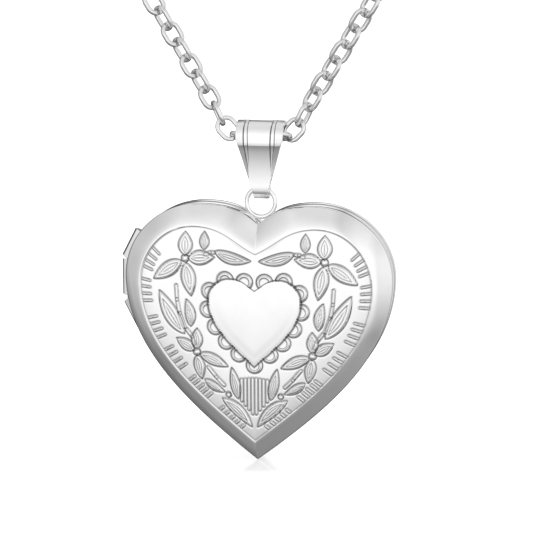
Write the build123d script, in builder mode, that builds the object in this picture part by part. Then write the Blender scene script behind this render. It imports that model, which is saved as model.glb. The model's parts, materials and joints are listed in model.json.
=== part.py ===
"""A heart locket on a cable chain, built in millimetres.

The origin is midway between the two held ends of the chain, X runs across the
heart, -Y is the front and +Z is up.  The locket hangs below the origin.
"""

import os
from math import cos, radians, sin

from build123d import *

# Chain
WIRE = 0.5  # link wire diameter
LINK_LENGTH = 3.1  # outside
LINK_WIDTH = 2.5  # outside
LINK_PLAY = 0.05  # gap left where two links bear on each other
SIDE_LINKS = 11  # on each side of the centre link
STRAND_ANGLE = 58.8  # straight strand, degrees above the horizontal
BEND_ANGLES = [4, 47, 65]  # the three links next to the centre link
CENTRE_ROLL = -23
BEND_ROLLS = [67, -22, 68]  # turn of those links about their own length

# Ring that the locket hangs from
LOOP_RADIUS = 1.645  # to the middle of the wire
LOOP_WIRE = 0.52
BAIL_TO_LOOP = 5.78  # from the chain's middle to the loop's top wire

# Bail, a strip folded over the chain and closed under the loop
BAIL_INNER = 1.5
BAIL_STRIP = 0.42
BAIL_TOE_INNER = 0.62
BAIL_TOE_STRIP = 0.58
BAIL_ROOM = 8  # larger than the bail in every direction
# Right edges of the front and of the back, as (x, z) from the chain's middle
BAIL_FRONT_EDGE = [(2.7, BAIL_ROOM), (2.7, 0), (0.87, -6.3), (0.87, -BAIL_ROOM)]
BAIL_BACK_EDGE = [
    (2.7, BAIL_ROOM), (2.7, 1.2), (1.95, -0.4), (1.25, -3), (0.75, -5.4), (0.87, -6.3), (0.87, -BAIL_ROOM),
]
BAIL_SHIFT = 0.1  # it hangs this far to the right of the middle
BAIL_BEND = 0.8  # the front bends in this far below the chain's middle
BAIL_GROOVE = 0.14
# One channel in the front, as (x, z) from the chain's middle; it narrows to a point
GROOVE_OUTLINE = [(1.42, 3), (1.8, 3), (1.72, -0.8), (1.28, -3.7), (1.25, -3.7), (1.3, -0.8)]

# Heart covers: depths are measured from the plane where the two covers meet
SEAM_Y = -0.4
SEAM_GAP = 0.05
WALL_DEPTH = 1.6
SHEET = 0.2  # sheet thickness, as a fraction of the way from outline to field
SHEET_DEPTH = 0.42

# Hinge
HINGE_X = -15.4
KNUCKLE_RADIUS = 0.42
PIN_RADIUS = 0.18
PIN_PLAY = 0.03
PIN_CHAMFER = 0.05
LEAF_DEPTH = 1.3
LEAF_FACE_X = -15.76
LEAF_ROOT_X = -13.6  # the leaf is brazed to the cover's wall before this
LEAF_START = 0.6 * KNUCKLE_RADIUS  # depth where the leaf leaves its barrel
HINGE_SWEEP = 0.62  # room cut in the covers round each barrel
HINGE_END_ROOM = 0.2  # and past its ends

# Nail notch
NAIL_NOTCH_X = -1.75
NAIL_NOTCH_Z = -8.3  # from the chain's middle
NAIL_NOTCH = (0.6, 0.5, 1.2)

# Clasp and end rings
RING_RADIUS = 1.55
RING_WIRE = 0.5
HELD_SLACK = 0.33  # from the last link's end of pitch to the middle of the ring's wire
CLASP_DEPTH = 2.0
CLASP_ROLL = -45  # turn about the strand, so that the eye takes the ring squarely
CLASP_EYE = 1.0
CLASP_EYE_HOLE = 0.52
CLASP_EYE_DEPTH = 0.9
CLASP_EYE_PLAY = 0.18  # how far the eye's middle lies beyond the ring's wire
LEVER_PIN = 0.3


def turned(angle):
    """Unit vector in the XZ plane, as (x, z), this many degrees above +X."""
    return Vector(cos(radians(angle)), 0, sin(radians(angle)))


PITCH = LINK_LENGTH - 2 * WIRE - LINK_PLAY

# Joints between links on the right strand, counted from the centre link.
link_angles = BEND_ANGLES + [STRAND_ANGLE] * (SIDE_LINKS - len(BEND_ANGLES))
link_rolls = BEND_ROLLS + [45 if n % 2 else -45 for n in range(SIDE_LINKS - len(BEND_ROLLS))]
strand = [Vector(PITCH / 2, 0, 0)]
for angle in link_angles:
    strand.append(strand[-1] + turned(angle) * PITCH)
pull = turned(STRAND_ANGLE)
held = strand[-1] - pull * HELD_SLACK

# Height of the chain's middle, inside the bail, below the held ends.
CHAIN_Z = -held.Z
LOOP_TOP_Z = CHAIN_Z - BAIL_TO_LOOP
LOOP_Z = LOOP_TOP_Z - LOOP_RADIUS

# Half outlines of the heart: notch, top of lobe, widest point, tip, given from
# the chain's middle, with the slopes at the notch and at the tip in degrees.
OUTLINE = {"notch": -9.7, "top": (6.4, -7.15), "side": (15.35, -15.9), "tip": -36.85, "slopes": (42, 37)}
FIELD = {"notch": -12.8, "top": (7.05, -9.8), "side": (13.3, -16.5), "tip": -34.4, "slopes": (24, 39)}
PLAIN = {"notch": -17.05, "top": (2.75, -15.75), "side": (5.15, -18.1), "tip": -25.4, "slopes": (35, 42)}

# Handles of the three curves, as shares of the straight distance they span
QUARTER = 0.5523  # makes a quarter ellipse
NOTCH_PULL = 0.35
TOP_PULL = 0.45
SIDE_PULL = 0.33
TIP_PULL = 0.36


def half_heart(shape):
    """Control points of the three cubic curves from the notch to the tip."""
    notch = Vector(0, shape["notch"])
    top = Vector(*shape["top"])
    side = Vector(*shape["side"])
    tip = Vector(0, shape["tip"])
    rise, fall = [Vector(cos(radians(a)), sin(radians(a))) for a in shape["slopes"]]
    lobe = (top - notch).length
    flank = (side - tip).length
    return [
        [notch, notch + rise * lobe * NOTCH_PULL, top - Vector(lobe * TOP_PULL, 0), top],
        [top, top + Vector((side.X - top.X) * QUARTER, 0), side + Vector(0, (top.Y - side.Y) * QUARTER), side],
        [side, side - Vector(0, flank * SIDE_PULL), tip + fall * flank * TIP_PULL, tip],
    ]


def heart_curves(step):
    """Curves of the heart at a step: 0 is the outline, 1 the field's edge, 2 the plain heart."""
    first, second = (OUTLINE, FIELD) if step <= 1 else (FIELD, PLAIN)
    share = step if step <= 1 else step - 1
    curves = []
    for a, b in zip(half_heart(first), half_heart(second)):
        curves.append([p + (q - p) * share for p, q in zip(a, b)])
    return curves


def front_plane(y):
    """Plane facing -Y, with its own X and Y along the world's X and Z, at the chain's height."""
    return Plane(origin=(0, y, CHAIN_Z), x_dir=(1, 0, 0), z_dir=(0, -1, 0))


def heart_face(step, y):
    with BuildSketch(front_plane(y)) as face:
        with BuildLine():
            for points in heart_curves(step):
                Bezier(*points)
                Bezier(*[Vector(-p.X, p.Y) for p in points])
        make_face()
    return face.sketch


def heart_block(sections, side):
    """Solid through hearts given as (step, depth); side is -1 to the front and 1 to the back."""
    with BuildPart() as block:
        for low, high in zip(sections, sections[1:]):
            heart_face(low[0], SEAM_Y + side * low[1])
            loft([heart_face(step, SEAM_Y + side * depth) for step, depth in (low, high)], ruled=True)
    return block.part


# Outer skin of a cover as (step, depth): the wall, the rolled rim, then the field rising to the plain heart
OUTSIDE = [
    (0, SEAM_GAP), (0, WALL_DEPTH), (0.04, 1.8), (0.3, 2.3), (0.6, 2.82), (0.85, 3.15),
    (1, 3.25), (1.45, 3.65), (2, 3.85),
]
# The inner skin follows it; the sheet is thinner across where the steps are long
FIELD_SHEET = 0.4 * SHEET
INSIDE = [(SHEET, -0.2)]
for step, depth in OUTSIDE[1:-1]:
    INSIDE.append((step + (SHEET if step < 1 else FIELD_SHEET), depth - SHEET_DEPTH))
INSIDE.append((2, OUTSIDE[-1][1] - SHEET_DEPTH))

# Hinge places: (lowest, highest) of each barrel from the chain's middle.
BARRELS = {
    "hinge_lug_upper": (-13.6, -10.7),
    "hinge_knuckle": (-18.3, -14.0),
    "hinge_lug_lower": (-22.2, -19.0),
}
PIN_SPAN = (-19.6, -13.0)


def barrel(span, radius, extra=0.0):
    """Cylinder on the hinge's axis over a span of heights."""
    low, high = span
    plane = Plane.XY.offset(CHAIN_Z + low - extra)
    with BuildPart() as part:
        with BuildSketch(plane):
            with Locations((HINGE_X, SEAM_Y)):
                Circle(radius)
        extrude(amount=high - low + 2 * extra)
    return part.part


def export(part, name):
    part.part.label = name
    export_step(part.part, f"parts/{name}.step")


os.makedirs("parts", exist_ok=True)

# Covers, drawn from sheet, with room for the barrels of the hinge

covers = {"front_cover": -1, "back_cover": 1}
blocks = {name: heart_block(OUTSIDE, side) for name, side in covers.items()}
for name, side in covers.items():
    with BuildPart() as cover:
        add(blocks[name])
        add(heart_block(INSIDE, side), mode=Mode.SUBTRACT)
        for span in BARRELS.values():
            add(barrel(span, HINGE_SWEEP, HINGE_END_ROOM), mode=Mode.SUBTRACT)
        if name == "front_cover":
            # nail notch in the edge of the left lobe, beside the loop
            with Locations((NAIL_NOTCH_X, SEAM_Y, CHAIN_Z + NAIL_NOTCH_Z)):
                Box(*NAIL_NOTCH, mode=Mode.SUBTRACT)
    export(cover, name)

# Hinge: a barrel and a leaf for each lug; the outer lugs are cut back along the outline

leaf_sides = {"hinge_lug_upper": 1, "hinge_knuckle": -1, "hinge_lug_lower": 1}
corner_cuts = {
    "hinge_lug_upper": [(-15.76, -13.0), (-14.55, -10.6), (-17, -10.6), (-17, -13.0)],
    "hinge_lug_lower": [(-15.76, -19.7), (-14.6, -22.3), (-17, -22.3), (-17, -19.7)],
}
CUT_DEPTH = 3  # each way from the seam
for name, span in BARRELS.items():
    low, high = span
    side = leaf_sides[name]
    bore = PIN_RADIUS + (PIN_PLAY if name == "hinge_knuckle" else 0)
    with BuildPart() as lug:
        add(barrel(span, KNUCKLE_RADIUS))
        with BuildSketch(Plane.XY.offset(CHAIN_Z + low)):
            with Locations(((LEAF_FACE_X + LEAF_ROOT_X) / 2, SEAM_Y + side * (LEAF_DEPTH + LEAF_START) / 2)):
                Rectangle(LEAF_ROOT_X - LEAF_FACE_X, LEAF_DEPTH - LEAF_START)
        extrude(amount=high - low)
        add(blocks["back_cover" if side > 0 else "front_cover"], mode=Mode.SUBTRACT)
        with BuildSketch(Plane.XY.offset(CHAIN_Z + low)):
            with Locations((HINGE_X, SEAM_Y)):
                Circle(KNUCKLE_RADIUS)
        extrude(amount=high - low)
        if name in corner_cuts:
            with BuildSketch(front_plane(SEAM_Y)):
                Polygon(*corner_cuts[name], align=None)
            extrude(amount=CUT_DEPTH, both=True, mode=Mode.SUBTRACT)
        add(barrel(span, bore, 1), mode=Mode.SUBTRACT)
    export(lug, name)

with BuildPart() as hinge_pin:
    add(barrel(PIN_SPAN, PIN_RADIUS))
    chamfer(hinge_pin.edges().filter_by(GeomType.CIRCLE), PIN_CHAMFER)
export(hinge_pin, "hinge_pin")

# Snap rim: a strip inside the back cover that stands into the front cover

SNAP_REACH = 0.5  # how far it stands past the seam
SNAP_OUTER = 0.26  # steps
SNAP_INNER = 0.36
SNAP_ROOT = 0.12  # depth where it widens to bear on the cover's wall
SNAP_DEPTH = 1.15
SNAP_END_X = -6  # it stops here, so that the hinge side is clear
with BuildPart() as snap_rim:
    add(heart_block([(SNAP_OUTER, -SNAP_REACH), (SNAP_OUTER, SNAP_ROOT)], 1))
    add(heart_block([(SHEET, SNAP_ROOT), (SHEET, SNAP_DEPTH)], 1))
    add(heart_block([(SNAP_INNER, -2 * SNAP_REACH), (SNAP_INNER, 2 * SNAP_DEPTH)], 1), mode=Mode.SUBTRACT)
    with Locations((SNAP_END_X, SEAM_Y, CHAIN_Z)):
        Box(20, 6, 80, align=(Align.MAX, Align.CENTER, Align.CENTER), mode=Mode.SUBTRACT)
export(snap_rim, "snap_rim")

# Photo frames and their clear windows

FRAME_THICKNESS = 0.5
FRAME_OPENING = 0.78  # step
WINDOW_THICKNESS = 0.18
WINDOW_PLAY = 0.02
# half: (side, step of the frame's outline, its depth)
frames = {"front": (-1, 0.24, 0.65), "back": (1, 0.38, 0.15)}
for name, (side, step, depth) in frames.items():
    top = depth + FRAME_THICKNESS
    with BuildPart() as frame:
        add(heart_block([(step, depth), (step, top)], side))
        add(heart_block([(FRAME_OPENING, depth - 0.1), (FRAME_OPENING, top + 0.1)], side), mode=Mode.SUBTRACT)
    export(frame, f"{name}_photo_frame")
    window_step = step + WINDOW_PLAY
    window_near = top + WINDOW_PLAY
    with BuildPart() as window:
        add(heart_block([(window_step, window_near), (window_step, window_near + WINDOW_THICKNESS)], side))
    export(window, f"{name}_window")

# Loop, bedded in the notch of the back cover

with BuildPart() as hanging_loop:
    with BuildSketch(Plane.XY.offset(LOOP_Z)):
        with Locations((LOOP_RADIUS, 0)):
            Circle(LOOP_WIRE / 2)
    revolve(axis=Axis((0, 0, LOOP_Z), (0, 1, 0)), revolution_arc=360)
export(hanging_loop, "hanging_loop")

# Bail: a side profile, given its tapered width from the front

side_plane = Plane(origin=(0, 0, CHAIN_Z), x_dir=(0, 1, 0), z_dir=(1, 0, 0))


def bail_profile(top_radius, toe_radius, hollow):
    """Closed side profile round the chain at the top and the loop at the toe.

    When hollow, the front below its crease curves in and then falls straight to the toe.
    """
    with BuildSketch(side_plane) as face:
        with BuildLine():
            top = ThreePointArc((-top_radius, 0), (0, top_radius), (top_radius, 0))
            toe_middle = (0, -BAIL_TO_LOOP - toe_radius)
            toe = ThreePointArc((-toe_radius, -BAIL_TO_LOOP), toe_middle, (toe_radius, -BAIL_TO_LOOP))
            crease = Vector(-top_radius, -BAIL_BEND)
            Line(top @ 0, crease)
            if hollow:
                Bezier(crease, Vector(-toe_radius, -(BAIL_BEND + BAIL_TO_LOOP) / 2), toe @ 0)
            else:
                Line(crease, toe @ 0)
            Polyline(top @ 1, (top_radius, -BAIL_BEND), toe @ 1)
        make_face()
    return face.sketch


outer_profile = bail_profile(BAIL_INNER + BAIL_STRIP, BAIL_TOE_INNER + BAIL_TOE_STRIP, True)
strip = outer_profile - bail_profile(BAIL_INNER, BAIL_TOE_INNER, False)
with BuildPart() as taper:
    for edge, way in ((BAIL_FRONT_EDGE, 1), (BAIL_BACK_EDGE, -1)):
        with BuildSketch(front_plane(0)):
            Polygon(*edge, *[(-x, z) for x, z in reversed(edge)], align=None)
        extrude(amount=way * BAIL_ROOM)
with BuildPart() as bail:
    extrude(strip, amount=BAIL_ROOM, both=True)
    add(taper.part, mode=Mode.INTERSECT)
    for hand in (-1, 1):
        with BuildSketch(front_plane(-BAIL_INNER - BAIL_STRIP + BAIL_GROOVE)):
            Polygon(*[(hand * x, z) for x, z in GROOVE_OUTLINE], align=None)
        extrude(amount=1, mode=Mode.SUBTRACT)
    add(bail.part.moved(Location((BAIL_SHIFT, 0, 0))), mode=Mode.REPLACE)
export(bail, "bail")

# Chain links


def link_part(centre, angle, roll):
    """Oval link of round wire, its length along the angle and its plane rolled about that length."""
    along = turned(angle)
    normal = Vector(0, -1, 0).rotate(Axis((0, 0, 0), along), roll)
    plane = Plane(origin=centre + Vector(0, 0, CHAIN_Z), x_dir=along, z_dir=normal)
    bend = (LINK_WIDTH - WIRE) / 2
    straight = (LINK_LENGTH - LINK_WIDTH) / 2
    with BuildPart() as link:
        with BuildLine(plane) as path:
            near = CenterArc((-straight, 0), bend, 90, 180)
            far = CenterArc((straight, 0), bend, -90, 180)
            Line(near @ 1, far @ 0)
            Line(far @ 1, near @ 0)
        with BuildSketch(path.line ^ 0):
            Circle(WIRE / 2)
        sweep(path=path.line)
    return link


centre_link = link_part(Vector(0, 0, 0), 0, CENTRE_ROLL)
export(centre_link, "chain_link_centre")
for n in range(SIDE_LINKS):
    middle = (strand[n] + strand[n + 1]) / 2
    right = link_part(middle, link_angles[n], link_rolls[n])
    export(right, f"chain_link_right_{n + 1:02d}")
    left = link_part(Vector(-middle.X, 0, middle.Z), 180 - link_angles[n], -link_rolls[n])
    export(left, f"chain_link_left_{n + 1:02d}")

# Held ends: a ring on each strand, and the clasp on the left one


def ring_part(centre, along, roll):
    """Round ring whose plane holds the pull of the strand."""
    normal = Vector(0, -1, 0).rotate(Axis((0, 0, 0), along), roll)
    plane = Plane(origin=centre, x_dir=along, z_dir=normal)
    with BuildPart() as ring:
        with BuildLine(plane) as path:
            CenterArc((0, 0), RING_RADIUS, 0, 360)
        with BuildSketch(path.line ^ 0):
            Circle(RING_WIRE / 2)
        sweep(path=path.line)
    return ring


left_pull = Vector(-pull.X, 0, pull.Z)
left_held = Vector(-held.X, 0, 0)
right_held = Vector(held.X, 0, 0)
end_ring = ring_part(right_held + pull * RING_RADIUS, pull, -45)
export(end_ring, "end_ring")
clasp_ring = ring_part(left_held + left_pull * RING_RADIUS, left_pull, -CLASP_ROLL)
export(clasp_ring, "clasp_ring")

# Clasp, in its own plane: X across, Y along the strand, from the middle of its eye
clasp_origin = left_held + left_pull * (2 * RING_RADIUS + CLASP_EYE_PLAY)
clasp_axis = Axis((0, 0, 0), left_pull)
clasp_side = Vector(pull.Z, 0, pull.X).rotate(clasp_axis, CLASP_ROLL)
clasp_normal = Vector(0, -1, 0).rotate(clasp_axis, CLASP_ROLL)
clasp_plane = Plane(origin=clasp_origin, x_dir=clasp_side, z_dir=clasp_normal)
LEVER_AT = (-0.95, 2.75)
LEVER_EYE = 0.75
LEVER_THICKNESS = 0.9
LEVER_SLOT = 1.1
LEVER_SLOT_EYE = 1.05
CLAW_AT = (0, 5.3)
CLAW_OUTER = 2.35
CLAW_INNER = 1.35
EYE_SLOT_AT = (0, 0.3)
EYE_SLOT = 0.6  # between the slot's centres
SHOULDERS = [(-0.8, 1.2), (-1.5, 2.4), (-2.1, 4.2), (2.1, 4.2), (1.5, 2.4), (0.8, 1.2)]
MOUTH = [(-3.2, 3.6), (-1.2, 3.6), (-1.2, 5), (-1.0, 6.05), (-1.35, 6.3), (-3.2, 6.3)]
LEVER_ROOM = [(-3.4, 1.2), (-1.15, 1.7), (-0.5, 3.4), (-0.7, 4.9), (-3.4, 4.9)]
LEVER_OUTLINE = [
    (-0.95, 2.0), (-3.0, 1.75), (-3.1, 2.15), (-2.1, 3.3), (-2.3, 4.6), (-2.2, 5.6),
    (-1.95, 6.0), (-1.65, 6.15), (-1.4, 5.9), (-1.62, 5.3), (-1.45, 4.4), (-0.8, 3.45),
]

with BuildPart() as clasp_body:
    with BuildSketch(clasp_plane):
        with Locations(EYE_SLOT_AT):
            SlotCenterToCenter(EYE_SLOT, 2 * CLASP_EYE, rotation=90)
    extrude(amount=CLASP_EYE_DEPTH / 2, both=True)
    with BuildSketch(clasp_plane):
        Polygon(*SHOULDERS, align=None)
        with Locations(CLAW_AT):
            Circle(CLAW_OUTER)
            Circle(CLAW_INNER, mode=Mode.SUBTRACT)
    extrude(amount=CLASP_DEPTH / 2, both=True)
    with BuildSketch(clasp_plane):
        Circle(CLASP_EYE_HOLE)
        Polygon(*MOUTH, align=None)
        with Locations(LEVER_AT):
            Circle(LEVER_PIN)
    extrude(amount=CLASP_DEPTH, both=True, mode=Mode.SUBTRACT)
    with BuildSketch(clasp_plane):
        with Locations(LEVER_AT):
            Circle(LEVER_SLOT_EYE)
        Polygon(*LEVER_ROOM, align=None)
    extrude(amount=LEVER_SLOT / 2, both=True, mode=Mode.SUBTRACT)
export(clasp_body, "clasp_body")

with BuildPart() as clasp_lever:
    with BuildSketch(clasp_plane):
        with Locations(LEVER_AT):
            Circle(LEVER_EYE)
        Polygon(*LEVER_OUTLINE, align=None)
        with Locations(LEVER_AT):
            Circle(LEVER_PIN + PIN_PLAY, mode=Mode.SUBTRACT)
    extrude(amount=LEVER_THICKNESS / 2, both=True)
export(clasp_lever, "clasp_lever")

with BuildPart() as clasp_pin:
    with BuildSketch(clasp_plane):
        with Locations(LEVER_AT):
            Circle(LEVER_PIN)
    extrude(amount=CLASP_DEPTH / 2, both=True)
export(clasp_pin, "clasp_pin")
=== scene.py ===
# %% [markdown]
# # A heart locket on its chain
# The moving parts, their sizes and their places come from the CAD frame. This lesson gives the locket its looks:
# the embossed front, the polished rims, the folded bail, the drawn chain, the finishes and a small white studio.
# Lengths in the lesson are millimetres, as a jeweller would say them, and MM turns them into Blender's metres.

# %% Load the frame
import json
from math import cos, radians, sin

import bpy
import numpy as np
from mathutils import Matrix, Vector


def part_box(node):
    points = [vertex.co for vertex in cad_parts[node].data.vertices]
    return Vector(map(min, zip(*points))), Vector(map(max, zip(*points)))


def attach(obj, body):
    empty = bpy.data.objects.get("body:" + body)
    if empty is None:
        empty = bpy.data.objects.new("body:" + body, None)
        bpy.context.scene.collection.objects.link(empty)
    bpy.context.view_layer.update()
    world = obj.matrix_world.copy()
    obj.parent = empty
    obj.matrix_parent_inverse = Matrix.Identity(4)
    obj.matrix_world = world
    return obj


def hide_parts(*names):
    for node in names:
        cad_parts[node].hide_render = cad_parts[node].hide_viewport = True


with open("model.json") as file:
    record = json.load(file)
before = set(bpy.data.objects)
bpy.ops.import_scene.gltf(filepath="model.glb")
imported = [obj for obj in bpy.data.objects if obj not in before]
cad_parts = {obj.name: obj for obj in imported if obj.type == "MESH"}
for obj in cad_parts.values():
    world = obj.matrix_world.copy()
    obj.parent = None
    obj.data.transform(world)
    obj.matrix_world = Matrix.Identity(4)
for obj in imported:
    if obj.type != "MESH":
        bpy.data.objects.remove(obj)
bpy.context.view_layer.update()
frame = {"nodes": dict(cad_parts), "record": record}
nodes = frame["nodes"]
scene = bpy.context.scene
MM = 0.001

# %% [markdown]
# ## Places
# Everything is placed from the CAD boxes. The covers meet at the seam, and heights are measured from the middle
# of the chain's lowest link, where the bail hangs.

# %% Places read from the frame
def box_mm(node):
    low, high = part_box(node)
    return Vector(low) / MM, Vector(high) / MM


bail_low, bail_high = box_mm("bail")
front_low, front_high = box_mm("front_cover")
back_low, _ = box_mm("back_cover")
link_low, link_high = box_mm("chain_link_centre")
seam_y = (front_high.y + back_low.y) / 2
heart_tip_z = front_low.z
chain_z = (link_low.z + link_high.z) / 2
print("seam", round(seam_y, 3), "tip", round(heart_tip_z, 3), "chain", round(chain_z, 3))

# %% [markdown]
# ## Camera
# A small piece of jewellery is shown with a long lens from a little distance, so that its shape stays true.
# The camera stands a little to the right of the heart's middle and a little above it. Its place is worked out
# from those two angles and the width of the view, which is easier to adjust than three coordinates.

# %% Camera
CAMERA_TURN = radians(11)
CAMERA_RISE = radians(10)
VIEW_WIDTH = 59.9 * MM
LENS = 150
AIM_RIGHT = 0.62 * MM
AIM_DOWN = 14.57 * MM


def from_camera_side(turn, rise):
    """Direction towards a viewer who stands at these angles in front of the locket."""
    return Vector((sin(turn) * cos(rise), -cos(turn) * cos(rise), sin(rise)))


camera_back = from_camera_side(CAMERA_TURN, CAMERA_RISE)
camera_right = Vector((cos(CAMERA_TURN), sin(CAMERA_TURN), 0))
camera_up = camera_back.cross(camera_right)
camera_data = bpy.data.cameras.new("camera")
camera_data.lens = LENS
camera_data.clip_start = 0.01
camera_data.clip_end = 20
camera = bpy.data.objects.new("camera", camera_data)
scene.collection.objects.link(camera)
aim = Vector((0, 0, chain_z * MM)) + camera_right * AIM_RIGHT - camera_up * AIM_DOWN
distance = VIEW_WIDTH * LENS / camera_data.sensor_width
camera.location = aim + camera_back * distance
camera.rotation_mode = "QUATERNION"
camera.rotation_quaternion = (-camera_back).to_track_quat("-Z", "Y")
scene.camera = camera
print("camera at", [round(v, 4) for v in camera.location])

# %% [markdown]
# ## Studio
# Polished steel shows its surroundings more than itself, so the surroundings are most of the look. They are a
# plain white room that darkens towards the ground in front, so that faces turned down go grey. A dark card stands
# behind the locket, as jewellers use, to draw a dark line along every edge. The room is a world shader and not
# built walls, because a gradient on the sky gives cleaner reflections and costs nothing.

# %% Small helpers for node trees
def new_node(tree, kind, **inputs):
    node = tree.nodes.new(kind)
    for name, value in inputs.items():
        node.inputs[name.replace("_", " ")].default_value = value
    return node


def ramp_node(tree, stops):
    """Grey ramp through (place, level) stops."""
    node = tree.nodes.new("ShaderNodeValToRGB")
    first, last = node.color_ramp.elements
    for element, (place, level) in ((first, stops[0]), (last, stops[-1])):
        element.position = place
        element.color = (level, level, level, 1)
    for place, level in stops[1:-1]:
        element = node.color_ramp.elements.new(place)
        element.color = (level, level, level, 1)
    return node


def maths(tree, operation, first, second=None, third=None):
    node = new_node(tree, "ShaderNodeMath")
    node.operation = operation
    for socket, value in zip(node.inputs, (first, second, third)):
        if isinstance(value, (int, float)):
            socket.default_value = value
        elif value is not None:
            tree.links.new(value, socket)
    return node.outputs[0]


def facing(tree, direction, aim):
    """How nearly a direction points at the aim, from -1 to 1."""
    node = new_node(tree, "ShaderNodeVectorMath")
    node.operation = "DOT_PRODUCT"
    node.inputs[1].default_value = aim
    tree.links.new(direction, node.inputs[0])
    return node.outputs["Value"]


def shade_of(tree, value, stops):
    """Grey from a value that runs from -1 to 1."""
    ramp = ramp_node(tree, [((place + 1) / 2, level) for place, level in stops])
    tree.links.new(maths(tree, "MULTIPLY_ADD", value, 0.5, 0.5), ramp.inputs[0])
    return ramp.outputs[0]


print("node helpers ready")

# %% Room
# brightness by height: -1 is straight down, 1 straight up
FROM_ABOVE = [
    (-1.0, 0.3), (-0.85, 0.32), (-0.6, 0.42), (-0.45, 0.72), (-0.3, 0.95),
    (-0.18, 1.1), (0.25, 1.2), (0.55, 1.0), (0.9, 0.78), (1.0, 0.8),
]
# brightness from left, -1, to right, 1
FROM_SIDES = [
    (-1.0, 0.5), (-0.8, 0.62), (-0.45, 1.0), (0.08, 1.0), (0.25, 0.84),
    (0.5, 1.0), (0.7, 1.0), (0.85, 0.8), (1.0, 0.85),
]

world = bpy.data.worlds.new("studio")
scene.world = world
world.use_nodes = True
tree = world.node_tree
tree.nodes.clear()
place = new_node(tree, "ShaderNodeTexCoord").outputs["Generated"]
light = maths(tree, "MULTIPLY", shade_of(tree, facing(tree, place, (0, 0, 1)), FROM_ABOVE),
              shade_of(tree, facing(tree, place, (1, 0, 0)), FROM_SIDES))
print("room has", len(FROM_ABOVE), "levels by height and", len(FROM_SIDES), "from side to side")

# %% Dark card behind the locket
DARK_CARD = 0.1
BEHIND = [(-1.0, 0.0), (0.35, 0.0), (0.75, 1.0), (1.0, 1.0)]
# a small opening in the card that only the floor in front of the tip reflects
TIP_RISE = radians(15)
TIP_GAP = [(-1.0, 1.0), (0.985, 1.0), (0.995, 0.0), (1.0, 0.0)]
# a soft lighter place at its right, which lights the side wall of the heart
RIGHT_WALL = (0.2, 0.98, 0)
RIGHT_GAP = [(-1.0, 1.0), (0.93, 1.0), (0.965, 0.35), (1.0, 0.35)]

over_tip = from_camera_side(CAMERA_TURN, -TIP_RISE)
card = maths(tree, "MULTIPLY", shade_of(tree, facing(tree, place, -camera_back), BEHIND),
             shade_of(tree, facing(tree, place, -over_tip), TIP_GAP))
card = maths(tree, "MULTIPLY", card, shade_of(tree, facing(tree, place, RIGHT_WALL), RIGHT_GAP))
room = maths(tree, "MULTIPLY_ADD", card, maths(tree, "SUBTRACT", DARK_CARD, light), light)
background = new_node(tree, "ShaderNodeBackground")
output = new_node(tree, "ShaderNodeOutputWorld")
tree.links.new(room, background.inputs["Color"])
tree.links.new(background.outputs[0], output.inputs["Surface"])
scene.view_settings.view_transform = "Standard"
print("world has", len(tree.nodes), "nodes")

# %% [markdown]
# ## Lamps and floor
# Two soft boxes light the floor. They are hidden from reflections, because a bright rectangle in a polished rim
# would draw the eye, so the metal is lit by the room alone. The floor is white acrylic just below the tip: it
# glows evenly, and its glow is dimmed under the tip as painted shade, so that the tip's faint reflection shows
# there.

# %% Soft boxes
def soft_box(name, place, aim, size, power):
    light = bpy.data.lights.new(name, "AREA")
    light.shape = "RECTANGLE"
    light.size, light.size_y = size
    light.energy = power
    lamp = bpy.data.objects.new(name, light)
    scene.collection.objects.link(lamp)
    lamp.location = place
    lamp.rotation_euler = (Vector(aim) - Vector(place)).to_track_quat("-Z", "Y").to_euler()
    lamp.visible_glossy = False
    print(name, power, "W at", [round(v, 3) for v in place])


BELOW_CHAIN = 20
middle = Vector((0, 0, (chain_z - BELOW_CHAIN) * MM))
soft_box("key_box", middle + Vector((-0.35, -0.55, 0.55)), middle, (0.5, 0.35), 0.6)
soft_box("side_box", middle + Vector((0.6, -0.3, 0.25)), middle, (0.16, 0.5), 0.25)

# %% Floor
FLOOR_DROP = 0.18
FLOOR_WIDTH = 8  # metres
FLOOR_GREY = 0.35
GLOW_REACH = 20
# glow by distance from the tip: dimmer close to it, a painted shade on the floor under the locket
GLOW = [(0.0, 0.6), (0.28, 0.62), (0.5, 1.0), (1.0, 1.0)]

bpy.ops.object.select_all(action="DESELECT")
bpy.ops.mesh.primitive_plane_add(size=FLOOR_WIDTH, location=(0, 0, (heart_tip_z - FLOOR_DROP) * MM))
floor = bpy.context.object
floor.name = "floor"
floor_finish = bpy.data.materials.new("white_acrylic_floor")
floor_finish.use_nodes = True
floor_tree = floor_finish.node_tree
shader = floor_tree.nodes["Principled BSDF"]
shader.inputs["Base Color"].default_value = (FLOOR_GREY, FLOOR_GREY, FLOOR_GREY, 1)
shader.inputs["Roughness"].default_value = 0.1
shader.inputs["Specular IOR Level"].default_value = 0.25
shader.inputs["Emission Color"].default_value = (1, 1, 1, 1)
from_tip = new_node(floor_tree, "ShaderNodeTexCoord")
away = new_node(floor_tree, "ShaderNodeVectorMath")
away.operation = "LENGTH"
glow = ramp_node(floor_tree, GLOW)
near_tip = maths(floor_tree, "MULTIPLY", away.outputs["Value"], 1 / (GLOW_REACH * MM))
floor_tree.links.new(from_tip.outputs["Object"], away.inputs[0])
floor_tree.links.new(near_tip, glow.inputs[0])
floor_tree.links.new(glow.outputs[0], shader.inputs["Emission Strength"])
floor.data.materials.append(floor_finish)
floor.visible_glossy = False
print("floor", FLOOR_DROP, "mm under the tip")
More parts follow.
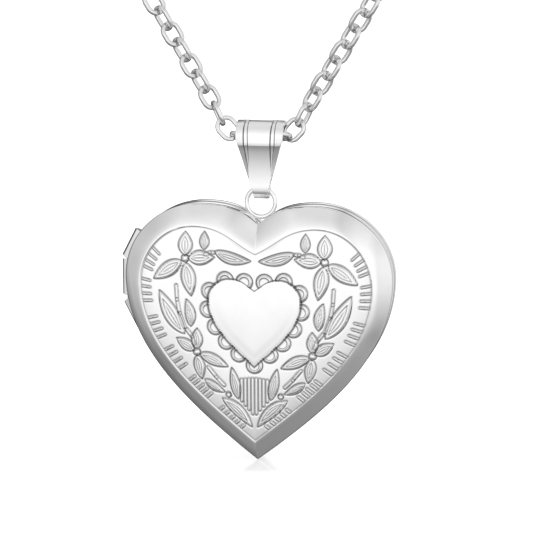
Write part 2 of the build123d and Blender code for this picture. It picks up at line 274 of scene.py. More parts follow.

# %% [markdown]
# ## Finishes
# All the metal is the same steel. What differs is how it was worked: wire and rims are polished, the embossed
# field has painted shade darkening its grooves, and hidden frames are only brushed. A soft noise varies the
# polish, and a stretched noise gives hair scratches. Both are tied to the object, so they don't slide when it
# moves. The painted shade is read from an attribute on the mesh, because it follows the ornament.

# %% Steel
SCRATCH_STRETCH = (9000, 9000, 700)
SCRATCH_DEPTH = 0.00001
# dark tone painted as shade into grooves, channels and steps; inner faces take a little of it too
SHADE_AND_DULL_TONE = (0.1, 0.1, 0.105, 1)
GROOVE_ROUGHER = 0.25


def steel(name, level, roughness, scratches, scale, groove_and_shade=None):
    """Polished metal with faint uneven polish and fine scratches; its last argument names an attribute that darkens
    it: painted shade in pressed lines and at steps, and a darker inner face.
    """
    finish = bpy.data.materials.new(name)
    finish.use_nodes = True
    tree = finish.node_tree
    shader = tree.nodes["Principled BSDF"]
    shader.inputs["Metallic"].default_value = 1
    place = new_node(tree, "ShaderNodeTexCoord")
    cloud = new_node(tree, "ShaderNodeTexNoise", Scale=scale, Detail=4.0, Roughness=0.6)
    tree.links.new(place.outputs["Object"], cloud.inputs["Vector"])
    tone = ramp_node(tree, [(0.3, level * 0.95), (0.7, level)])
    tree.links.new(cloud.outputs[0], tone.inputs[0])
    polish = ramp_node(tree, [(0.3, roughness * 0.7), (0.7, roughness * 1.4)])
    tree.links.new(cloud.outputs[0], polish.inputs[0])
    stretch = new_node(tree, "ShaderNodeMapping", Scale=SCRATCH_STRETCH)
    hairs = new_node(tree, "ShaderNodeTexNoise", Scale=1.0, Detail=2.0)
    tree.links.new(place.outputs["Object"], stretch.inputs["Vector"])
    tree.links.new(stretch.outputs[0], hairs.inputs["Vector"])
    bump = new_node(tree, "ShaderNodeBump", Strength=scratches, Distance=SCRATCH_DEPTH)
    tree.links.new(hairs.outputs[0], bump.inputs["Height"])
    tree.links.new(bump.outputs[0], shader.inputs["Normal"])
    colour, rough = tone.outputs[0], polish.outputs[0]
    # the attribute mixes in the painted shade and the darker inner faces
    if groove_and_shade:
        mark = tree.nodes.new("ShaderNodeAttribute")
        mark.attribute_name = groove_and_shade
        darker = tree.nodes.new("ShaderNodeMix")
        darker.data_type = "RGBA"
        darker.inputs["B"].default_value = SHADE_AND_DULL_TONE
        tree.links.new(mark.outputs["Fac"], darker.inputs["Factor"])
        tree.links.new(colour, darker.inputs["A"])
        colour = darker.outputs["Result"]
        rough = maths(tree, "MULTIPLY_ADD", mark.outputs["Fac"], GROOVE_ROUGHER, rough)
    tree.links.new(colour, shader.inputs["Base Color"])
    tree.links.new(rough, shader.inputs["Roughness"])
    print(name, "reflects", level, "with roughness", roughness)
    return finish


mirror_steel = steel("mirror_polished_steel", 0.93, 0.07, 0.05, 400)
wire_steel = steel("polished_wire_steel", 0.82, 0.1, 0.06, 900)
field_steel = steel("embossed_steel_with_painted_shade", 0.94, 0.1, 0.06, 500, groove_and_shade="groove_and_shade")
brushed_steel = steel("brushed_steel", 0.75, 0.3, 0.5, 500)

# %% Clear film
# the windows over the picture places are thin clear film, faintly hazy from handling
film = bpy.data.materials.new("clear_film")
film.use_nodes = True
film_tree = film.node_tree
film_shader = film_tree.nodes["Principled BSDF"]
film_shader.inputs["Base Color"].default_value = (0.97, 0.98, 1, 1)
film_shader.inputs["Transmission Weight"].default_value = 1
film_shader.inputs["IOR"].default_value = 1.45
film_cloud = new_node(film_tree, "ShaderNodeTexNoise", Scale=300.0)
film_place = new_node(film_tree, "ShaderNodeTexCoord")
film_haze = ramp_node(film_tree, [(0.3, 0.02), (0.7, 0.08)])
film_tree.links.new(film_place.outputs["Object"], film_cloud.inputs["Vector"])
film_tree.links.new(film_cloud.outputs[0], film_haze.inputs[0])
film_tree.links.new(film_haze.outputs[0], film_shader.inputs["Roughness"])

finish_of = {
    "polished_steel": mirror_steel, "chain_steel": wire_steel, "satin_steel": brushed_steel, "clear_film": film,
}
for part in frame["record"]["subparts"]:
    node = nodes[part["node"]]
    node.data.materials.clear()
    node.data.materials.append(finish_of[part["material_slot"]])

# %% [markdown]
# ## Heart outlines
# Three hearts make the front: the outline, the edge of the embossed field and the plain heart in its middle.
# Each half is three smooth curves from the notch to the tip. A heart between two of them is a blend, so one number
# says where a ring lies. Hearts could be traced as Bezier objects, but rings of points can be joined directly.

# %% Heart curves
OUTLINE = {"notch": -9.7, "top": (6.4, -7.4), "side": (15.35, -15.9), "tip": -36.85, "slopes": (42, 37)}
FIELD = {"notch": -12.8, "top": (7.05, -9.8), "side": (13.3, -16.5), "tip": -34.4, "slopes": (24, 39)}
PLAIN = {"notch": -17.05, "top": (2.75, -15.75), "side": (5.15, -18.1), "tip": -25.4, "slopes": (35, 42)}
PLAIN_MIDDLE = -19.4
QUARTER_ROUND = 0.5523  # handle length that makes a curve nearly a quarter circle


def cubic(points, count):
    t = np.linspace(0, 1, count, endpoint=False)[:, None]
    a, b, c, d = [np.array(p, float) for p in points]
    return (1 - t) ** 3 * a + 3 * (1 - t) ** 2 * t * b + 3 * (1 - t) * t * t * c + t ** 3 * d


def half_heart(shape, counts):
    """Points of the right half from the notch to the tip, the tip left out."""
    notch = np.array((0, shape["notch"]))
    top = np.array(shape["top"])
    side = np.array(shape["side"])
    tip = np.array((0, shape["tip"]))
    rise, fall = [np.array((cos(radians(a)), sin(radians(a)))) for a in shape["slopes"]]
    lobe = np.linalg.norm(top - notch)
    flank = np.linalg.norm(side - tip)
    over = (top[0] + (side[0] - top[0]) * QUARTER_ROUND, top[1])
    down = (side[0], side[1] + (top[1] - side[1]) * QUARTER_ROUND)
    curves = [
        (notch, notch + rise * lobe * 0.35, top - (lobe * 0.45, 0), top),
        (top, over, down, side),
        (side, side - (0, flank * 0.33), tip + fall * flank * 0.36, tip),
    ]
    return np.vstack([cubic(c, n) for c, n in zip(curves, counts)])


def heart(step, counts):
    """Closed ring of a heart: step 0 is the outline, 1 the field's edge, 2 the plain heart and 3 its middle."""
    if step > 2:
        centre = np.array((0, PLAIN_MIDDLE))
        right = centre + (half_heart(PLAIN, counts) - centre) * (3 - step)
        tip = centre + (np.array((0, PLAIN["tip"])) - centre) * (3 - step)
    else:
        outer, inner = (OUTLINE, FIELD) if step < 1 else (FIELD, PLAIN)
        share = step if step < 1 else step - 1
        right = half_heart(outer, counts) * (1 - share) + half_heart(inner, counts) * share
        tip = np.array((0, outer["tip"] * (1 - share) + inner["tip"] * share))
    left = right[1:][::-1] * (-1, 1)
    return np.vstack([right, tip[None], left])


print("heart is", round(2 * half_heart(OUTLINE, (20, 30, 40))[:, 0].max(), 2), "mm wide")

# %% [markdown]
# ## Ornament
# The front is stamped sheet, so every flower and leaf is the same skin pushed up a few tenths of a millimetre,
# with a line pressed along its edge. It could be sculpted or bought in as an image, but a height worked out for
# each point stays sharp at any size. Each motif adds its own rise and its own grooves, the highest wins, and the
# right half is repeated on the left.

# %% Motifs
LEAF_RISE = 0.2
LEAF_SHOULDER = 0.2  # how far in from its edge a leaf reaches its full height
STEM_RISE = 0.14
BOSS_RISE = 0.24
NEAR_LEAF = 1.5  # a leaf leaves points further off than this alone


def smooth(x):
    x = np.clip(x, 0, 1)
    return x * x * (3 - 2 * x)


def line(distance, width):
    return np.exp(-((distance / width) ** 2))


class Ornament:
    """Height, and the depth of pressed lines that are also darkened as painted shade, over points (x, z) of the
    field.
    """

    def __init__(self, points):
        self.x = np.abs(points[:, 0])
        self.z = points[:, 1]
        self.rise = np.zeros(len(points))
        self.groove_and_shade = np.zeros(len(points))

    def press(self, rise, groove_and_shade):
        self.rise = np.maximum(self.rise, rise)
        self.groove_and_shade = np.maximum(self.groove_and_shade, groove_and_shade)

    def leaf(self, start, end, width, bend=0.0):
        """Almond from start to end, its widest half width given, with a line inside its edge and a vein."""
        start, end = np.array(start), np.array(end)
        length = np.linalg.norm(end - start)
        along = (end - start) / length
        dx, dz = self.x - start[0], self.z - start[1]
        s = (dx * along[0] + dz * along[1]) / length
        across = -dx * along[1] + dz * along[0] - bend * 4 * s * (1 - s)
        # fuller towards its foot, with pointed ends; depth is how far a point lies inside the edge
        half = width * np.clip(np.sin(np.pi * np.clip(s, 0, 1) ** 0.85), 0, 1) ** 0.8
        past_end = np.hypot(np.abs(across), (np.abs(s - 0.5) - 0.5) * length)
        depth = np.where((s > 0) & (s < 1), half - np.abs(across), -past_end)
        border = line(depth + 0.05, 0.065)
        inner = 0.75 * line(depth - 0.3 * width / 0.55, 0.05)
        vein = 0.8 * line(across, 0.045) * smooth((s - 0.12) * 8) * smooth((0.72 - s) * 8)
        # the pressed lines are sunk into the sheet and also darkened as painted shade
        groove_and_shade = np.maximum(np.maximum(border, inner), vein)
        near = np.abs(depth) < NEAR_LEAF
        self.press(np.where(near, LEAF_RISE * smooth(depth / LEAF_SHOULDER), 0), np.where(near, groove_and_shade, 0))

    def stem(self, points, width=0.13, height=STEM_RISE):
        """Thin ridge along a run of points, with a pressed line at each side that is darkened as painted shade."""
        for a, b in zip(points, points[1:]):
            a, b = np.array(a), np.array(b)
            run = b - a
            t = np.clip(((self.x - a[0]) * run[0] + (self.z - a[1]) * run[1]) / (run @ run), 0, 1)
            away = np.hypot(self.x - a[0] - t * run[0], self.z - a[1] - t * run[1])
            self.press(height * line(away, width), 0.8 * line(away - width * 1.5, 0.06))

    def boss(self, centre, radius):
        """Round bead."""
        away = np.hypot(self.x - centre[0], self.z - centre[1])
        rise = BOSS_RISE * np.sqrt(np.clip(1 - (away / radius) ** 2, 0, 1))
        self.press(rise, line(away - radius - 0.03, 0.07))

    def flower(self, centre, tips, width):
        """Four petals round a bead."""
        for tip in tips:
            base = np.array(centre) + (np.array(tip) - centre) * 0.12
            self.leaf(base, tip, width)
        self.boss(centre, 0.4)

    def scallop(self, centre):
        """Half-round lobe with a hollow in it, part of which lies under the plain heart."""
        away = np.hypot(self.x - centre[0], self.z - centre[1])
        rise = 0.17 * smooth((0.9 - away) / 0.22) * (1 - 0.5 * smooth((0.6 - away) / 0.2))
        self.press(rise, np.maximum(line(away - 0.95, 0.065), 0.8 * line(away - 0.55, 0.06)))


print("motifs: leaf, stem, boss, flower, scallop")

# %% Where the motifs go
# flower: middle, the ends of its petals, petal half width
FLOWERS = [
    ((7.95, -13.45), [(7.95, -10.5), (11.6, -15.9), (4.6, -13.25), (7.25, -17.7)], 0.78),
    ((6.65, -24.15), [(6.6, -21.5), (8.95, -22.7), (3.1, -25.7), (6.1, -27.3)], 0.6),
]
# leaf: start, end, half width, bend
LEAVES = [
    ((4.5, -12.6), (0.5, -13.6), 0.62, 0.25),
    ((5.75, -12.4), (5.75, -10.4), 0.5, 0.0),
    ((8.1, -22.1), (10.95, -17.3), 0.85, -0.2),
    ((7.3, -21.2), (7.8, -18.2), 0.55, 0.15),
    ((5.7, -27.4), (3.5, -28.7), 0.45, 0.1),
    ((1.85, -29.4), (2.6, -25.9), 0.52, 0.0),
    ((3.65, -29.5), (0.35, -32.6), 0.62, -0.25),
]
STEMS = [
    [(9.0, -16.6), (8.9, -18.2), (8.6, -19.8), (8.0, -21.4)],
    [(7.8, -21.6), (7.2, -22.4), (6.9, -23.2)],
    [(5.3, -25.9), (4.4, -27.0), (3.5, -27.9)],
    [(5.6, -12.9), (5.1, -12.7), (4.6, -12.7)],
]
BERRY = (3.0, -29.0)
BERRY_RADIUS = 0.28
# scallops round the plain heart, from the notch down
SCALLOPS = [
    (1.15, -15.95), (3.35, -15.8), (5.1, -17.1), (5.3, -19.2),
    (4.45, -21.15), (3.2, -22.8), (1.75, -24.2), (0.0, -25.45),
]
# groups of short strokes along the field's edge: highest, lowest, how many and how long
STROKES = [
    (-12.3, -14.5, 4, 1.0), (-16.0, -18.6, 4, 0.95), (-20.6, -22.9, 4, 1.0),
    (-24.3, -26.4, 4, 1.0), (-27.7, -29.6, 5, 0.8), (-31.0, -33.0, 5, 0.5),
]
STROKE_START = 0.22
STROKE_LEAN = 0.1
STROKE_WIDTH = 0.09
STROKE_RISE = 0.09
FIELD_MIDDLE = (0, -20)
# upright reeds: how many each side, how far apart, where they start and end and how both ends fall or rise
REEDS = 4
REED_GAP = 0.42
REED_TOP = -27.05
REED_TOP_FALL = 0.05
REED_END = -31.3
REED_END_RISE = 1.15
REED_RISE = 0.1
print(len(FLOWERS), "flowers,", len(LEAVES), "leaves and", len(SCALLOPS), "scallops on each half")

# %% Press the ornament
def field_border(samples=400):
    """The right half of the field's edge, from the notch to the tip."""
    half = half_heart(FIELD, (samples, samples, samples))
    return np.vstack([half, (0, FIELD["tip"])])


def ornament(points):
    art = Ornament(points)
    for centre, tips, width in FLOWERS:
        art.flower(centre, tips, width)
    for start, end, width, bend in LEAVES:
        art.leaf(start, end, width, bend)
    for stem in STEMS:
        art.stem(stem)
    art.boss(BERRY, BERRY_RADIUS)
    for centre in SCALLOPS:
        art.scallop(centre)
    # upright reeds whose ends make a point
    for k in range(REEDS):
        reed_x = (k + 0.5) * REED_GAP
        reed = [(reed_x, REED_TOP - REED_TOP_FALL * k), (reed_x, REED_END + REED_END_RISE * reed_x)]
        art.stem(reed, width=REED_GAP * 0.3, height=REED_RISE)
    # short strokes that stand on the field's edge and point at its middle
    border = field_border()
    low_side = border[:, 1].argmax()
    for high, low, count, length in STROKES:
        for z in np.linspace(high, low, count):
            n = low_side + np.abs(border[low_side:, 1] - z).argmin()
            tangent = border[min(n + 1, len(border) - 1)] - border[n - 1]
            tangent /= np.linalg.norm(tangent)
            inward = np.array((tangent[1], -tangent[0]))
            if inward @ (np.array(FIELD_MIDDLE) - border[n]) < 0:
                inward = -inward
            a = border[n] + inward * STROKE_START
            b = a + inward * length + tangent * STROKE_LEAN
            art.stem([a, b], width=STROKE_WIDTH, height=STROKE_RISE)
    return art


print("field edge has", len(field_border()), "sample points")

# %% [markdown]
# ## Skins
# The covers, links, bail and hinge plates are all lofts: a row of closed rings with the same number of points,
# joined ring to ring. A primitive pulled about in edit mode would not follow a heart that changes from ring to
# ring, so the rings are worked out first. A ring of one repeated point closes a skin in a pole, and a skin whose
# last ring is its first is a closed tube. Edit mode then merges doubles and turns the faces outward.

# %% Building and finishing a skin
def skin(name, rings):
    """Mesh of rings of points, joined ring to ring."""
    count = len(rings[0])
    here = np.arange(count)
    after = (here + 1) % count
    faces = []
    for r in range(len(rings) - 1):
        a, b = r * count + here, r * count + after
        faces.append(np.stack([a, b, b + count, a + count], axis=1))
    mesh = bpy.data.meshes.new(name)
    mesh.from_pydata((np.vstack(rings) * MM).tolist(), [], np.vstack(faces).tolist())
    piece = bpy.data.objects.new(name, mesh)
    scene.collection.objects.link(piece)
    return piece


def mark_shade_and_dullness(piece, values):
    """Stores how dark each point of a skin is: painted shade in pressed lines, channels and at steps, and a darker
    inner face.
    """
    mark = piece.data.attributes.new("groove_and_shade", "FLOAT", "POINT")
    mark.data.foreach_set("value", values.astype(np.float32))


def pick_only(piece):
    bpy.ops.object.select_all(action="DESELECT")
    bpy.context.view_layer.objects.active = piece
    piece.select_set(True)


def finish_piece(piece, body, slot, finish, *replaced, sharp=40):
    """Turns the faces outward, smooths them and puts the piece on its body."""
    pick_only(piece)
    bpy.ops.object.mode_set(mode="EDIT")
    bpy.ops.mesh.select_all(action="SELECT")
    bpy.ops.mesh.remove_doubles(threshold=1e-7)
    bpy.ops.mesh.normals_make_consistent(inside=False)
    bpy.ops.object.mode_set(mode="OBJECT")
    bpy.ops.object.shade_smooth_by_angle(angle=radians(sharp))
    piece.data.materials.clear()
    piece.data.materials.append(finish)
    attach(piece, body)
    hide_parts(*replaced)
    print(piece.name, len(piece.data.polygons), "faces")


print("skin helpers ready")

# %% [markdown]
# ## Covers
# Each cover is pressed from thin sheet. From the seam out it has a small chamfer, a straight wall, a shoulder and
# a rolled rim, and then a step down to the field. The rim's skin comes back along its inside to the seam, so that
# it is a closed tube with a thickness. Both covers have the same rim, one facing forward and one back.

# %% Cover sizes
SEAM_GAP = 0.05
WALL = 1.55
RIM_RISE = 1.72
RIM_ROUND = 1.45  # how round the rolled rim is, 1 for a plain slope
FIELD_SINK = 0.2
EDGE = WALL + RIM_RISE - FIELD_SINK
SHEET = 0.3
# the shoulder between wall and rim: ring, rise over the wall
SHOULDER = [(0.008, 0.06), (0.03, 0.17), (0.06, 0.27), (0.09, 0.35), (0.12, 0.42)]
RIM_STEPS = (0.18, 0.27, 0.37, 0.48, 0.59, 0.7, 0.8, 0.88, 0.94, 0.98)
RIM_INSIDE_STEPS = (0.95, 0.75, 0.55, 0.35, 0.2)
COVER_COUNTS = (60, 90, 110)
print("the rim stands", WALL + RIM_RISE, "mm proud of the seam")

# %% Front rim
def ring_at(step, proud, side, counts):
    """Heart ring that stands proud of the seam, forward for side -1 and back for side 1."""
    flat = heart(step, counts)
    return np.column_stack([flat[:, 0], np.full(len(flat), seam_y + side * proud), flat[:, 1] + chain_z])


def rolled(share):
    return 1 - (1 - share) ** RIM_ROUND


def rim_rings(side):
    last, low = SHOULDER[-1]
    inside = RIM_INSIDE_STEPS[-1]
    profile = [(0.03, SEAM_GAP), (0, SEAM_GAP + 0.15), (0, 0.5), (0, 1.0), (0, WALL)]
    profile += [(step, WALL + rise) for step, rise in SHOULDER]
    profile += [(s, WALL + low + (RIM_RISE - low) * rolled((s - last) / (1 - last))) for s in RIM_STEPS]
    profile += [(0.995, WALL + RIM_RISE - 0.02), (1.015, EDGE), (1.06, EDGE - 0.15)]
    profile += [(s, WALL - 0.2 + (RIM_RISE - 0.35) * rolled((s - inside) / (1 - inside))) for s in RIM_INSIDE_STEPS]
    profile += [(inside, SEAM_GAP + 0.02), (inside - 0.01, SEAM_GAP)]
    rings = [ring_at(step, proud, side, COVER_COUNTS) for step, proud in profile]
    return [*rings, rings[0]]


front_rim = skin("front_rim", rim_rings(-1))
finish_piece(front_rim, "front_half", "polished_steel", mirror_steel, "front_cover")

# %% [markdown]
# ## Embossed field
# The field is a shallow dome that rises from the rim's step to the plain heart. Close rings of many points carry
# the ornament, and a few rings behind them make the sheet's inner face. The dark lines where it meets the rim and
# the plain heart are painted shade. The inner face is a little darker and rougher.

# %% Embossed field
FIELD_COUNTS = (130, 150, 250)
FIELD_ROWS = 84
FIELD_START = 1.005
DOME = 0.48
INSIDE_DULL = 0.3
GROOVE_DEPTH = 0.08
BOX_CLEARANCE = 0.01


def dome(step):
    """How far the field stands proud of the seam, without ornament."""
    return EDGE + DOME * (1 - (1 - np.clip(step - 1, 0, 1)) ** 3)


steps = np.linspace(FIELD_START, 2.0, FIELD_ROWS)
points = np.vstack([ring_at(s, dome(s), -1, FIELD_COUNTS) for s in steps])
count = len(points) // FIELD_ROWS
art = ornament(np.column_stack([points[:, 0], points[:, 2] - chain_z]))
fade = np.repeat(np.clip((steps - 1.0) / 0.02, 0, 1), count)
points[:, 1] -= (art.rise - GROOVE_DEPTH * art.groove_and_shade) * fade
points[:, 1] = np.maximum(points[:, 1], front_low.y + BOX_CLEARANCE)
rings = [points[i * count:(i + 1) * count] for i in range(FIELD_ROWS)]
rings += [ring_at(s, EDGE + DOME - 0.1, -1, FIELD_COUNTS) for s in (2.0, 3.0)]
rings += [ring_at(s, dome(s) - SHEET, -1, FIELD_COUNTS) for s in (3.0, 2.5, 2.0, 1.6, 1.3, 1.01)]
inside_rows = len(rings) - FIELD_ROWS
rings.append(rings[0])
front_field = skin("front_field", rings)

step_of = np.repeat(steps, count)
# painted shade: dark lines where the field meets the rim and the plain heart
edges = np.maximum(line(step_of - FIELD_START, 0.018), line(step_of - 1.975, 0.018))
dull = np.full(count * inside_rows, INSIDE_DULL)
mark_shade_and_dullness(front_field, np.concatenate([np.maximum(art.groove_and_shade * fade, edges), dull, np.zeros(count)]))
finish_piece(front_field, "front_half", "polished_steel", field_steel, "front_cover", sharp=80)

# %% [markdown]
# ## Plain heart and back
# The plain heart is a polished cushion set in the field, where a name could be cut: a short upright edge, a round
# turn and then a slow bulge. The back cover's field is the same dome as the front's, without the ornament.

# %% Plain heart
PLAIN_RISE = 0.12
PLAIN_BULGE = 0.14
PLAIN_COUNTS = (40, 50, 60)
TURN_WIDTH = 0.12
plain_top = EDGE + DOME
profile = [(s, plain_top - 0.06) for s in (3, 2.5, 2.0)] + [(2.0, plain_top + PLAIN_RISE * 0.6)]
for s in (0.02, 0.05, 0.08, TURN_WIDTH):
    profile.append((2 + s, plain_top + PLAIN_RISE * (0.6 + 0.4 * sin(s / TURN_WIDTH * np.pi / 2))))
for s in (0.2, 0.3, 0.42, 0.55, 0.7, 0.85, 0.95, 1.0):
    profile.append((2 + s, plain_top + PLAIN_RISE + PLAIN_BULGE * (1 - (1 - s) ** 2)))
plain_heart = skin("front_plain_heart", [ring_at(step, proud, -1, PLAIN_COUNTS) for step, proud in profile])
finish_piece(plain_heart, "front_half", "polished_steel", mirror_steel, "front_cover", sharp=50)

# %% Back cover
back_rim = skin("back_rim", rim_rings(1))
finish_piece(back_rim, "back_half", "polished_steel", mirror_steel, "back_cover")
inner_face = [(s, dome(s) - SHEET) for s in (3, 2.5, 2.0, 1.5, 1.01)]
outer_face = [(s, dome(s)) for s in np.linspace(FIELD_START, 2.0, 12)]
outer_face += [(2 + s, EDGE + DOME + 0.02 * s) for s in (0.2, 0.4, 0.6, 0.8, 0.95, 1.0)]
rings = [ring_at(step, proud, 1, COVER_COUNTS) for step, proud in inner_face + outer_face]
back_field = skin("back_field", rings)
dull = np.zeros(len(rings) * len(rings[0]))
dull[:len(inner_face) * len(rings[0])] = INSIDE_DULL
mark_shade_and_dullness(back_field, dull)
finish_piece(back_field, "back_half", "polished_steel", field_steel, "back_cover")

# %% [markdown]
# ## Chain and rings
# The links are wire drawn through a square die before it was bent, so each has flat faces with soft corners. Each
# link takes the place and turn of its CAD link, read from that link's own surface: its long axis, its broad axis
# and its thin one. The hanging loop and the two end rings are plain round wire and are made the same way.

# %% Where a link lies
def lie_of(node):
    """Middle, axes (long, broad, thin) and size along them of a node."""
    mesh = nodes[node].data
    places = np.empty(len(mesh.vertices) * 3)
    mesh.vertices.foreach_get("co", places)
    mesh.calc_loop_triangles()
    corners = np.empty(len(mesh.loop_triangles) * 3, int)
    mesh.loop_triangles.foreach_get("vertices", corners)
    tri = places.reshape(-1, 3)[corners.reshape(-1, 3)] / MM
    area = np.linalg.norm(np.cross(tri[:, 1] - tri[:, 0], tri[:, 2] - tri[:, 0]), axis=1)
    middles = np.concatenate([(tri[:, i] + tri[:, (i + 1) % 3]) / 2 for i in range(3)])
    weight = np.tile(area, 3)[:, None] / area.sum() / 3
    centre = (middles * weight).sum(axis=0)
    spread = (middles - centre).T @ ((middles - centre) * weight)
    axes = np.linalg.eigh(spread)[1][:, ::-1].T
    reach = [np.ptp(tri.reshape(-1, 3) @ axis) for axis in axes]
    return centre, axes, reach


def closed_wire(name, path, out, thin, half, squareness, sides=24):
    """Wire along a closed path; its section is a circle for squareness 2 and squarer above that."""
    rings = []
    for turn in np.linspace(0, 2 * np.pi, sides, endpoint=False):
        c, d = cos(turn), sin(turn)
        size = half / (abs(c) ** squareness + abs(d) ** squareness) ** (1 / squareness)
        rings.append(path + out * size * c + thin * size * d)
    return skin(name, [*rings, rings[0]])


print("lowest link is", [round(float(v), 2) for v in lie_of("chain_link_centre")[2]], "mm")

# %% Links
WIRE = 0.5
LINK_LONG = 3.1
LINK_BROAD = 2.5
DRAWN_SQUARE = 3.2
WIRE_POINTS = 96
bend = (LINK_BROAD - WIRE) / 2
straight = (LINK_LONG - LINK_BROAD) / 2
turns = np.linspace(0, 2 * np.pi, WIRE_POINTS, endpoint=False) + np.pi / WIRE_POINTS
for node in sorted(n for n in nodes if n.startswith("chain_link")):
    centre, axes, _ = lie_of(node)
    out = np.outer(np.cos(turns), axes[0]) + np.outer(np.sin(turns), axes[1])
    path = centre + out * bend + np.outer(np.sign(np.cos(turns)) * straight, axes[0])
    link = closed_wire(node + "_drawn", path, out, axes[2], WIRE / 2, DRAWN_SQUARE)
    finish_piece(link, "chain", "chain_steel", wire_steel, node, sharp=60)

# %% Rings
for node, body, finish, slot in (
    ("hanging_loop", "back_half", mirror_steel, "polished_steel"),
    ("end_ring", "held_ends", wire_steel, "chain_steel"),
    ("clasp_ring", "held_ends", wire_steel, "chain_steel"),
):
    centre, axes, (across_ring, _, wire) = lie_of(node)
    out = np.outer(np.cos(turns), axes[0]) + np.outer(np.sin(turns), axes[1])
    path = centre + out * (across_ring - wire) / 2
    ring = closed_wire(node + "_round", path, out, axes[2], wire / 2, 2.0)
    finish_piece(ring, body, slot, finish, node, sharp=60)

# %% [markdown]
# ## Bail
# The bail is a strip folded over the chain and pinched round the loop. The front falls straight to a crease and
# then runs in to the toe in a shallow hollow. Two channels set off the middle panel, and the strip's borders are
# bevelled back. Seen from the side the strip is one closed line, and copies of that line at a few widths, some
# sunk a little, make the panel, channels and borders.

# %% Bail seen from the side
BAIL_MIDDLE = (bail_low.x + bail_high.x) / 2
BAIL_TOP = bail_high.z - chain_z
BAIL_TOE = 1.2
BAIL_FALL = bail_low.z - chain_z + BAIL_TOE
STRIP = 0.42
TOE_STRIP = 0.58
SHOULDER_Z = -0.4
CREASE = -0.8


def side_profile(top, toe, curved):
    """Points (y, z) round the closed strip, front bottom first."""
    down = np.linspace(0, 1, 25)[:-1][::-1]
    hollow = 1 - (1 - down) ** 2 if curved else down
    front = np.column_stack([-top + (top - toe) * hollow, CREASE + (BAIL_FALL - CREASE) * down])
    arc = np.radians(np.linspace(180, 0, 33))
    over = np.column_stack([top * np.cos(arc), top * np.sin(arc)])
    back = (front * (-1, 1))[::-1]
    arc = np.radians(np.linspace(0, -180, 17))
    under = np.column_stack([toe * np.cos(arc), BAIL_FALL + toe * np.sin(arc)])
    return np.vstack([front, [(-top, SHOULDER_Z)], over, [(top, SHOULDER_Z)], back, under[:-1]])


outer = side_profile(BAIL_TOP, BAIL_TOE, True)
inner = side_profile(BAIL_TOP - STRIP, BAIL_TOE - TOE_STRIP, False)
print("bail is", round(BAIL_TOP - BAIL_FALL + BAIL_TOE, 2), "mm high")

# %% Bail's widths
# half widths by height: the front narrows evenly to the toe, the back leg is narrower
FRONT_HEIGHTS, FRONT_HALVES = [-6.3, 0], [0.87, 2.7]
BACK_HEIGHTS, BACK_HALVES = [-6.3, -5.4, -3, -0.4, 1.2], [0.87, 0.75, 1.25, 1.95, 2.7]
CHANNEL_HEIGHTS = [-3.7, -0.8, 3]
CHANNEL = 0.14
CHANNEL_END = -3.9
BEVEL_BACK = 0.13
CREASE_SHADE = 0.4


def half_width(side_line):
    front = np.interp(side_line[:, 1], FRONT_HEIGHTS, FRONT_HALVES)
    back = np.interp(side_line[:, 1], BACK_HEIGHTS, BACK_HALVES)
    return np.where(side_line[:, 0] < 0, front, back)


heights = outer[:, 1]
half = half_width(outer)
channel_out = np.minimum(np.interp(heights, CHANNEL_HEIGHTS, [1.27, 1.72, 1.8]), half * 0.93)
channel_in = np.minimum(np.interp(heights, CHANNEL_HEIGHTS, [1.25, 1.3, 1.42]), half * 0.9)
on_front = np.clip(-outer[:, 0] / 0.5, 0, 1)
deep = CHANNEL * np.clip((heights - CHANNEL_END) / 0.5, 0, 1) * on_front
zero = np.zeros(len(heights))
bevel = BEVEL_BACK * on_front
wide = np.clip((channel_out - channel_in) / 0.3, 0, 1)
# nine lines from the right border to the middle: where each lies, how deep and how much painted shade darkens it
across = np.column_stack([
    half, half - 0.05, channel_out + 0.1 * wide, channel_out, channel_out - 0.07 * wide,
    channel_in + 0.07 * wide, channel_in, channel_in - 0.1 * wide, channel_in * 0.4,
])
sink = np.column_stack([bevel + 0.04, bevel, zero, deep, deep, deep, deep, zero, zero])
# painted shade in the bottoms of the channels
dark = np.column_stack([zero, zero, zero, deep, zero, zero, deep, zero, zero]) / CHANNEL
# painted shade in a band just below the crease, fading downwards
below_crease = np.clip(1 - (CREASE - heights) / 0.7, 0, 1) * (heights < CREASE + 0.01)
dark = np.maximum(dark, (CREASE_SHADE * below_crease * on_front)[:, None])
across = np.column_stack([-across, across[:, ::-1]])
sink = np.column_stack([sink, sink[:, ::-1]])
dark = np.column_stack([dark, dark[:, ::-1]])
print("bail is", round(2 * half.max(), 2), "mm wide")

# %% Folded bail
along = np.gradient(outer, axis=0)
facing_in = np.column_stack([along[:, 1], -along[:, 0]])
facing_in /= np.linalg.norm(facing_in, axis=1)[:, None]
rings = []
for k in range(across.shape[1]):
    spot = outer + facing_in * sink[:, k:k + 1]
    rings.append(np.column_stack([across[:, k], spot[:, 0], spot[:, 1] + chain_z]))
for hand in (1, -1):
    rings.append(np.column_stack([hand * half_width(inner), inner[:, 0], inner[:, 1] + chain_z]))
rings.append(rings[0])
folded_bail = skin("folded_bail", [ring + (BAIL_MIDDLE, 0, 0) for ring in rings])
undarkened = np.zeros(len(heights) * 3)  # the inner face and the closing ring
mark_shade_and_dullness(folded_bail, np.concatenate([dark.T.ravel(), undarkened]))
finish_piece(folded_bail, "bail", "polished_steel", field_steel, "bail", sharp=14)

# %% [markdown]
# ## Hinge
# From the front the hinge is three flat plates along the left edge, two slanted with the outline and one upright.
# Their outer edges are cut to a broad bevel that catches dark. A plate is its section swept from its top to its
# bottom, with ends eased by a slightly smaller section. The inner edge lies inside the rim's wall.

# %% Hinge plates
# section: out from the outermost edge, then forward or back from the seam
PLATE_SECTION = [(-1.3, -0.82), (-0.27, -0.5), (0, 0), (-0.27, 0.5), (-1.3, 0.82)]
PLATE_MIDDLE = -0.5
PLATE_EASE = 0.07
PLATE_END = 0.88


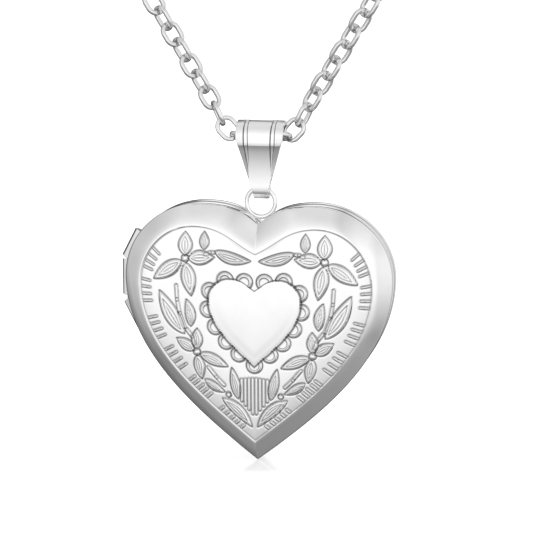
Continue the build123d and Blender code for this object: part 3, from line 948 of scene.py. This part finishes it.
def hinge_plate(name, top, bottom, body, replaced):
    """Plate from top to bottom, both (x, z) on its outermost edge."""
    top, bottom = np.array(top), np.array(bottom)
    run = (bottom - top) / np.linalg.norm(bottom - top)
    out = np.array((run[1], -run[0]))
    rings = []
    for end, along, size in (
        (top, 0, 0), (top, 0, PLATE_END), (top, PLATE_EASE, 1),
        (bottom, -PLATE_EASE, 1), (bottom, 0, PLATE_END), (bottom, 0, 0),
    ):
        ring = []
        for u, y in PLATE_SECTION:
            x, z = end + run * along + out * (PLATE_MIDDLE + (u - PLATE_MIDDLE) * size)
            ring.append((x, seam_y + y * size, z + chain_z))
        rings.append(np.array(ring))
    finish_piece(skin(name, rings), body, "polished_steel", mirror_steel, replaced, sharp=12)


hinge_plate("hinge_plate_upper", (-14.51, -10.68), (-16.12, -13.81), "back_half", "hinge_lug_upper")
hinge_plate("hinge_plate_middle", (-16.08, -14.29), (-16.08, -18.45), "front_half", "hinge_knuckle")
hinge_plate("hinge_plate_lower", (-16.0, -19.27), (-14.4, -22.38), "back_half", "hinge_lug_lower")

# %% [markdown]
# ## Clasp, pins and frames
# The small turned and cut pieces keep their CAD shapes. A CAD piece is never changed, so each is copied and its
# loose triangles are merged, and all but the hinge pin and the snap rim have their cut edges eased with a bevel,
# as tumbling in a barrel of beads does.

# %% Small fittings
CUT_EDGE = 35  # degrees; flatter edges stay as they are


def eased_copy(node, body, slot, finish, ease):
    """Merged copy of a CAD piece, its sharp edges bevelled when an ease is given."""
    piece = bpy.data.objects.new(node + "_eased", nodes[node].data.copy())
    scene.collection.objects.link(piece)
    pick_only(piece)
    bpy.ops.object.mode_set(mode="EDIT")
    bpy.ops.mesh.select_all(action="SELECT")
    bpy.ops.mesh.remove_doubles(threshold=1e-7)
    bpy.ops.object.mode_set(mode="OBJECT")
    if ease:
        bevel = piece.modifiers.new("ease", "BEVEL")
        bevel.width = ease * MM
        bevel.segments = 2
        bevel.limit_method = "ANGLE"
        bevel.angle_limit = radians(CUT_EDGE)
        bevel.use_clamp_overlap = True
        bpy.ops.object.modifier_apply(modifier="ease")
    finish_piece(piece, body, slot, finish, node, sharp=30)


eased_copy("clasp_body", "held_ends", "polished_steel", mirror_steel, 0.08)
eased_copy("clasp_lever", "lever", "polished_steel", mirror_steel, 0.06)
for node, body, ease in (
    ("hinge_pin", "back_half", 0),
    ("clasp_pin", "held_ends", 0.03),
    ("snap_rim", "back_half", 0),
    ("front_photo_frame", "front_half", 0.04),
    ("back_photo_frame", "back_half", 0.04),
):
    eased_copy(node, body, "satin_steel", brushed_steel, ease)
